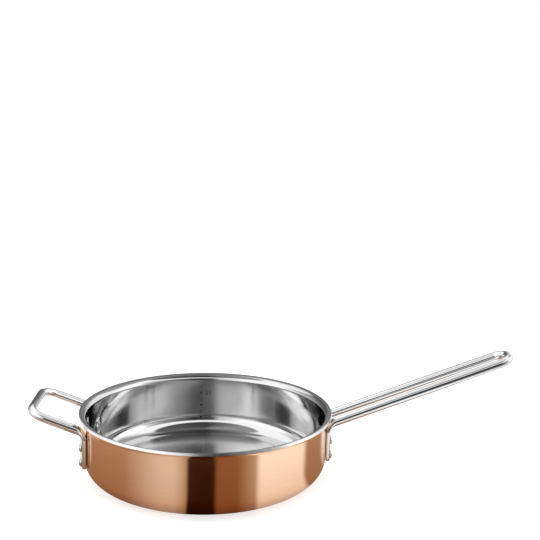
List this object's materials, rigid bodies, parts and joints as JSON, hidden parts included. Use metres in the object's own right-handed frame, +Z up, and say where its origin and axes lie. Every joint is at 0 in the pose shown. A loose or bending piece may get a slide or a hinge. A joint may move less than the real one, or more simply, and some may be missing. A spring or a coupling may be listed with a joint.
{
  "type": "saute pan",
  "caption": "Open saute pan of copper-clad sheet with a flared pouring lip, a long loop handle and a wide helper handle, both bent from steel rod and riveted to the wall.",
  "frame": {"origin": "middle of the flat base, on the vessel's axis", "axes": "+X along the long handle, +Z up out of the vessel's mouth, -X towards the helper handle"},
  "size_m": [0.5706, 0.2996, 0.1517],
  "materials": {
    "liner_steel": "mirror-polished stainless steel",
    "core_aluminium": "bare aluminium, seen only at the trimmed rim",
    "shell_copper": null,
    "handle_steel": "polished stainless steel rod",
    "rivet_steel": "polished stainless steel"
  },
  "bodies": {
    "root": {"steel_liner": "liner_steel", "aluminium_core": "core_aluminium", "copper_shell": "shell_copper", "long_handle": "handle_steel", "helper_handle": "handle_steel", "long_handle_rivet_front_lower": "rivet_steel", "long_handle_rivet_front_upper": "rivet_steel", "long_handle_rivet_rear_lower": "rivet_steel", "long_handle_rivet_rear_upper": "rivet_steel", "helper_handle_rivet_front_lower": "rivet_steel", "helper_handle_rivet_front_upper": "rivet_steel", "helper_handle_rivet_rear_lower": "rivet_steel", "helper_handle_rivet_rear_upper": "rivet_steel"}
  },
  "joints": []
}
